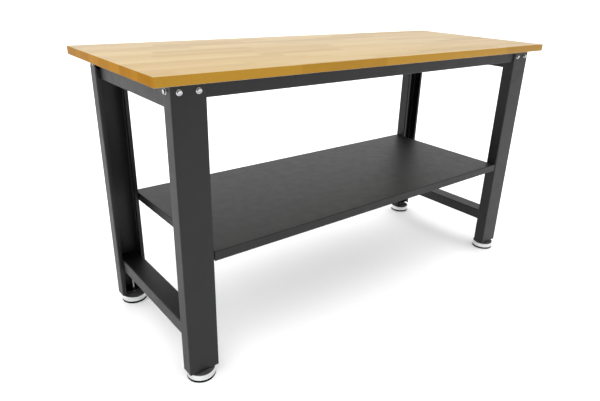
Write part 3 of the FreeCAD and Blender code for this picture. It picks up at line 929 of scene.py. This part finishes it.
@dataclass
class Fasteners:
    """Every bolt, nut and screw of the frame. Nuts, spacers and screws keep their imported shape.

    Attributes:
        bolt_rise: Height of the bolts that hold the legs to the rails.
        leg_middle: How far the middle of a leg lies from the table's middle, along X.
        leg_half: Half a leg's width.
        web_face: How far the outer face of a leg's web lies from the table's middle, along Y.
        web_bolt_reach: How far a web bolt stands from the leg's middle.
        side_bolt_depth: How far a side bolt stands behind the web's face.
        web_grip: Length of a web bolt's shank.
        side_grip: Length of a side bolt's shank.
        zinc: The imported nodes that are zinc-plated and keep their shape.
    """

    bolt_rise: float = 951.0 * MM
    leg_middle: float = 804.5 * MM
    leg_half: float = 52.5 * MM
    web_face: float = 316.5 * MM
    web_bolt_reach: float = 28.5 * MM
    side_bolt_depth: float = 32.0 * MM
    web_grip: float = 14.0 * MM
    side_grip: float = 12.0 * MM
    zinc: tuple[str, ...] = ("web_nuts", "side_nuts", "shelf_nuts", "shelf_spacers", "worktop_screws")

    def web_seats(self) -> list[tuple[Vector, Vector]]:
        """Works out where the two bolts of each leg's web sit.

        Returns:
            (seat, direction) of each bolt, where direction runs along the shank.
        """
        seats = []
        for side, end, way in product((-1, 1), repeat=3):
            across = side * self.leg_middle + way * self.web_bolt_reach
            seats.append((Vector((across, end * self.web_face, self.bolt_rise)), Vector((0, -end, 0))))
        return seats

    def side_seats(self) -> list[tuple[Vector, Vector]]:
        """Works out where the bolt of each leg's outer flange sits.

        Returns:
            (seat, direction) of each bolt, where direction runs along the shank.
        """
        seats = []
        for side, end in product((-1, 1), repeat=2):
            across = side * (self.leg_middle + self.leg_half)
            along = end * (self.web_face - self.side_bolt_depth)
            seats.append((Vector((across, along, self.bolt_rise)), Vector((-side, 0, 0))))
        return seats

    def build(self, finishes: Finishes) -> list[bpy.types.Object]:
        """Models the bolts that show and dresses the rest.

        Args:
            finishes: The table's finishes.

        Returns:
            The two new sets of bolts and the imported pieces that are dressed.
        """
        web = FlangedBolts("web_bolts", "web_bolt_set", Slot.BRIGHT, self.web_grip, self.web_seats())
        side = FlangedBolts("side_bolts", "side_bolt_set", Slot.BRIGHT, self.side_grip, self.side_seats())
        pieces = [web.build(finishes.bright), side.build(finishes.bright)]
        plan = [(name, finishes.bright) for name in self.zinc]
        plan += [("shelf_bolts", finishes.black), ("foot_nuts", finishes.steel)]
        for name, material in plan:
            dress(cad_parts[name], material)
            pieces.append(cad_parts[name])
        return pieces


@dataclass
class LevellingFoot:
    """One foot: rubber pad, chrome cup, black cap and the threaded stem that turns in it.

    Attributes:
        corner: Where the foot is.
        pitch: Pitch of the stem's thread.
        core: Radius at the bottom of the thread.
        crest: Radius at the top of the thread.
        facets: How many faces one turn of the thread has.
        spare: How many turns of thread are cut off again beyond each end of the stem.
        sides: How many sides the round pieces have.
    """

    corner: Corner
    pitch: float = 1.5 * MM
    core: float = 4.15 * MM
    crest: float = 4.98 * MM
    facets: int = 24
    spare: int = 2
    sides: int = 96

    def pad(self) -> bpy.types.Object:
        """Turns the pad.

        Returns:
            The rubber disc, with the groove that its rim shows above the floor.
        """
        rings = in_mm(
            (46.0, 0.0),
            (46.7, 0.25),
            (47.0, 1.0),
            (47.0, 6.6),
            (46.8, 7.1),
            (46.4, 7.5),
            (46.4, 8.48),
            (44.6, 8.48),
            (44.6, 11.6),
            (44.2, 12.0),
        )
        return Bench.turned(f"{self.corner.value}_rubber_pad", rings, self.sides, hollow=False)

    def cup(self) -> bpy.types.Object:
        """Turns the pressed cup.

        Returns:
            The cup, with a rolled rim at the pad, a straight wall and a rounded upper edge.
        """
        rings = in_mm(
            (44.8, 8.5),
            (46.3, 8.5),
            (46.8, 8.7),
            (47.0, 9.3),
            (46.9, 9.9),
            (46.7, 10.4),
            (46.7, 22.5),
            (46.6, 24.0),
            (46.4, 25.4),
            (46.1, 26.6),
            (45.6, 27.5),
            (44.9, 28.0),
            (5.3, 28.0),
            (5.3, 26.0),
            (43.9, 26.0),
            (44.8, 25.1),
        )
        return Bench.turned(f"{self.corner.value}_chrome_cup", rings, self.sides, hollow=True)

    def cap(self) -> bpy.types.Object:
        """Turns the black cover.

        Returns:
            The cover, with a rounded rim, a slight rise and the low collar round the stem.
        """
        rings = in_mm(
            (5.3, 28.02),
            (45.2, 28.02),
            (45.8, 28.12),
            (46.0, 28.35),
            (45.7, 28.65),
            (44.9, 28.95),
            (43.4, 29.2),
            (40.0, 29.45),
            (28.0, 29.85),
            (16.0, 30.3),
            (10.0, 30.5),
            (9.2, 30.7),
            (9.0, 31.1),
            (8.7, 31.4),
            (8.2, 31.5),
            (5.7, 31.5),
            (5.3, 31.2),
        )
        return Bench.turned(f"{self.corner.value}_flat_cap", rings, self.sides, hollow=True)

    def stem(self, low: float, high: float) -> bpy.types.Object:
        """The stem, with its thread cut as one helix from low to high.

        Args:
            low: Height of its lower end.
            high: Height of its upper end.

        Returns:
            The stem, closed at both ends.
        """
        Bench.clear()
        bpy.ops.mesh.primitive_plane_add(size=1)
        piece = bpy.context.object
        piece.name = piece.data.name = f"{self.corner.value}_threaded_stem"
        Bench.edit(piece, "VERT")
        bpy.ops.mesh.select_all(action="SELECT")
        bpy.ops.mesh.merge(type="CENTER")
        start = low - self.spare * self.pitch
        bpy.ops.transform.translate(value=(self.core, 0, start))
        # One turn of the thread: (radius, rise as a share of the pitch).
        outline = ((self.crest, 0.38), (self.crest, 0.5), (self.core, 0.88), (self.core, 1.0))
        radius, rise = self.core, 0.0
        for new_radius, new_rise in outline:
            bpy.ops.mesh.extrude_vertices_move()
            bpy.ops.transform.translate(value=(new_radius - radius, 0, (new_rise - rise) * self.pitch))
            radius, rise = new_radius, new_rise
        Bench.leave()
        turns = math.ceil((high - low) / self.pitch) + 2 * self.spare
        Bench.modify(
            piece,
            "SCREW",
            angle=math.tau,
            steps=self.facets,
            render_steps=self.facets,
            screw_offset=self.pitch,
            iterations=turns,
            use_merge_vertices=True,
            merge_threshold=FINE_WELD,
            use_normal_calculate=True,
        )
        for height, upper in ((low, False), (high, True)):
            Bench.edit(piece)
            bpy.ops.mesh.select_all(action="SELECT")
            bpy.ops.mesh.bisect(
                plane_co=(0, 0, height),
                plane_no=(0, 0, 1),
                use_fill=True,
                clear_inner=not upper,
                clear_outer=upper,
            )
            Bench.leave()
        Bench.tidy(piece)
        return piece

    def build(self, finishes: Finishes) -> list[bpy.types.Object]:
        """Models the foot at its corner, dresses it and mounts it on its bodies.

        Args:
            finishes: The table's finishes.

        Returns:
            The four pieces of the foot.
        """
        name = self.corner.value
        axis = middle(f"{name}_stem")
        low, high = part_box(f"{name}_stem")
        plan = (
            (self.pad(), finishes.rubber, Slot.RUBBER, f"{name}_foot_pad", f"{name}_foot"),
            (self.cup(), finishes.chrome, Slot.CHROME, f"{name}_foot_cup", f"{name}_foot"),
            (self.cap(), finishes.cap, Slot.CAP, f"{name}_foot_cap", f"{name}_foot"),
            (self.stem(low.z, high.z), finishes.steel, Slot.STEEL, f"{name}_stem", f"{name}_stem"),
        )
        for piece, material, slot, node, body in plan:
            piece.location = (axis.x, axis.y, 0)
            Bench.settle(piece)
            Bench.smooth(piece, ROUND_FOLD)
            dress(piece, material)
            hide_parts(node)
            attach(piece, body)
        return [row[0] for row in plan]


# ---------------------------------------------------------------------------------------------------------
# Studio
# ---------------------------------------------------------------------------------------------------------


@dataclass
class Studio:
    """The pale floor, the soft sky and the camera.

    Attributes:
        floor_half: Half the side of the floor, in metres.
        floor_colour: Colour of the floor, linear.
        floor_mottle: How bright the floor's darkest patches are, as a share of the rest.
        sky: Colour of the sky, linear.
        sky_shown: Strength of the sky where the camera sees it.
        sky_front: Strength of the sky in front of the table, as a reflection shows it.
        sky_rear: Strength of the sky behind the table, as a reflection shows it.
        sky_soft: Strength of the sky for soft light, the same from every side.
        camera_place: Where the camera stands, in metres.
        camera_turn: How the camera is turned about X, Y and Z, in degrees.
        lens: Focal length, in millimetres.
        sensor: Width of the sensor, in millimetres.
        shift: How far the lens is shifted across and up, as a share of the view's width.
        clip: Nearest and farthest distance that the camera sees, in metres.
    """

    floor_half: float = 14.0
    floor_colour: Colour = (0.96, 0.96, 0.96)
    floor_mottle: float = 0.995
    sky: Colour = (1.0, 1.0, 1.0)
    sky_shown: float = 1.08
    sky_front: float = 0.4
    sky_rear: float = 1.42
    sky_soft: float = 1.95
    camera_place: Point = (-1.43515, -1.59514, 1.23153)
    camera_turn: Point = (67.15564, -1.92365, -39.16243)
    lens: float = 31.632
    sensor: float = 36.0
    shift: tuple[float, float] = (-0.02311, 0.00303)
    clip: Span = (0.05, 60.0)

    def floor(self) -> bpy.types.Object:
        """Lays a wide matt sheet under the table.

        Returns:
            The sheet, which is stage and no piece of the table.
        """
        Bench.clear()
        bpy.ops.mesh.primitive_plane_add(size=2 * self.floor_half)
        sheet = bpy.context.object
        sheet.name = sheet.data.name = "studio_floor"
        graph = Graph("floor_paper")
        mottle = graph.noise(graph.place(), 3.0, 2.0)
        dark = shade(self.floor_colour, self.floor_mottle)
        tone = graph.ramp(mottle, ((0.3, dark), (0.7, self.floor_colour)))
        graph.feed(graph.shader.inputs["Base Color"], tone)
        graph.feed(graph.shader.inputs["Roughness"], 0.9)
        graph.feed(graph.shader.inputs["Specular IOR Level"], 0.2)
        dress(sheet, graph.material)
        return sheet

    @staticmethod
    def blend(
        tree: bpy.types.NodeTree,
        share: bpy.types.NodeSocket,
        start: float,
        low: float | bpy.types.NodeSocket,
        high: float,
    ) -> bpy.types.NodeSocket:
        """Goes from low to high as share goes from start to 1.

        Args:
            tree: The sky's node tree.
            share: The socket that says how far.
            start: Value of share at which the result is low.
            low: A number, or a socket that gives one.
            high: The result where share is 1.

        Returns:
            The socket with the result.
        """
        node = tree.nodes.new("ShaderNodeMapRange")
        tree.links.new(share, node.inputs["Value"])
        node.inputs["From Min"].default_value = start
        node.inputs["To Max"].default_value = high
        if isinstance(low, float):
            node.inputs["To Min"].default_value = low
        else:
            tree.links.new(low, node.inputs["To Min"])
        return node.outputs["Result"]

    def dome(self) -> bpy.types.World:
        """Builds the sky, which is as strong as each kind of ray needs.

        Returns:
            The world.
        """
        world = bpy.data.worlds.new("studio_sky")
        world.use_nodes = True
        tree = world.node_tree
        background = tree.nodes["Background"]
        background.inputs["Color"].default_value = (*self.sky, 1.0)
        rays = tree.nodes.new("ShaderNodeLightPath")
        heading = tree.nodes.new("ShaderNodeTexCoord")
        parts = tree.nodes.new("ShaderNodeSeparateXYZ")
        tree.links.new(heading.outputs["Generated"], parts.inputs["Vector"])
        glossy = self.blend(tree, parts.outputs["Y"], -1.0, self.sky_front, self.sky_rear)
        seen = self.blend(tree, rays.outputs["Is Camera Ray"], 0.0, glossy, self.sky_shown)
        strength = self.blend(tree, rays.outputs["Is Diffuse Ray"], 0.0, seen, self.sky_soft)
        tree.links.new(strength, background.inputs["Strength"])
        return world

    def camera(self) -> bpy.types.Object:
        """Sets the camera up.

        Returns:
            The camera, linked to the scene.
        """
        data = bpy.data.cameras.new("camera")
        data.lens = self.lens
        data.sensor_width = self.sensor
        data.shift_x, data.shift_y = self.shift
        data.clip_start, data.clip_end = self.clip
        camera = bpy.data.objects.new("camera", data)
        bpy.context.scene.collection.objects.link(camera)
        camera.location = self.camera_place
        camera.rotation_euler = Euler([math.radians(turn) for turn in self.camera_turn], "XYZ")
        return camera

    def build(self) -> None:
        """Sets up the floor, the sky and the camera."""
        self.floor()
        scene = bpy.context.scene
        scene.world = self.dome()
        scene.view_settings.view_transform = "Standard"
        scene.view_settings.look = "None"
        bpy.context.scene.camera = self.camera()


# ---------------------------------------------------------------------------------------------------------
# The whole table
# ---------------------------------------------------------------------------------------------------------


def report(group: str, pieces: Iterable[bpy.types.Object]) -> None:
    """Logs each piece of a sub-assembly with its number of faces."""
    for piece in pieces:
        log.info("%s: %s, %d faces", group, piece.name, len(piece.data.polygons))


def main() -> None:
    """Builds the table piece by piece, then the studio."""
    logging.basicConfig(level=logging.INFO, format="%(name)s: %(message)s")
    finishes = Finishes()
    report("top", [WoodenTop().build(finishes)])
    report("frame", SteelFrame().build(finishes))
    report("fasteners", Fasteners().build(finishes))
    for corner in Corner:
        report("foot", LevellingFoot(corner).build(finishes))
    Studio().build()
    Bench.clear()


if __name__ == "__main__":
    main()
